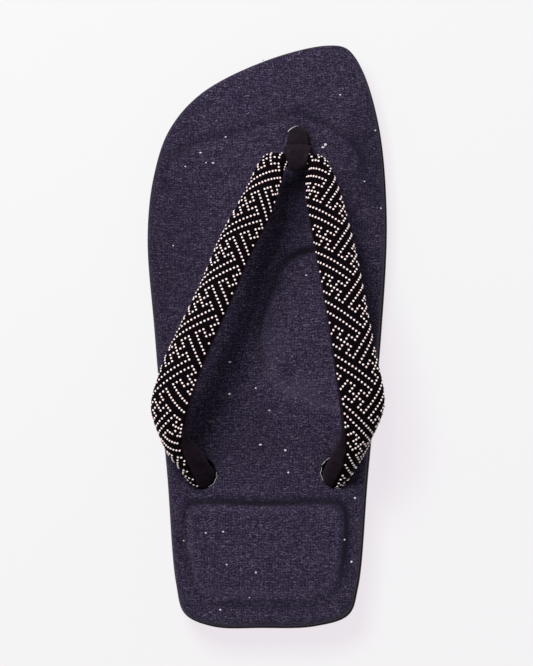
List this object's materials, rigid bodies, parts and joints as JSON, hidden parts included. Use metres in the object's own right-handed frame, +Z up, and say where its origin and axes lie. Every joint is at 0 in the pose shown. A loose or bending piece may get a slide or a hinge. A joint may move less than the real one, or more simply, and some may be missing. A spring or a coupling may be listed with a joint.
{
  "type": "setta sandal",
  "caption": "Left thong sandal with a cloth-wrapped, padded footbed, a patterned padded strap held by a toe loop, a full-length sole with toe spring and a low heel lift.",
  "frame": {"origin": "on the floor, under the middle of the sandal's bounding box", "axes": "+X to the big-toe side, +Y to the toe, +Z up"},
  "size_m": [0.112, 0.2708, 0.0622],
  "materials": {
    "outsole": "matt dark brown-black sole",
    "heel_lift": "smooth tan leather",
    "footbed": "dark indigo plain-weave slub cloth with white neps",
    "strap": "black cover with raised cream dots in a key fret, dark nap lining",
    "toe_thong": "brown-black suede"
  },
  "bodies": {
    "root": {"outsole": "outsole", "heel_lift": "heel_lift", "footbed": "footbed", "strap": "strap", "toe_thong": "toe_thong"}
  },
  "joints": []
}
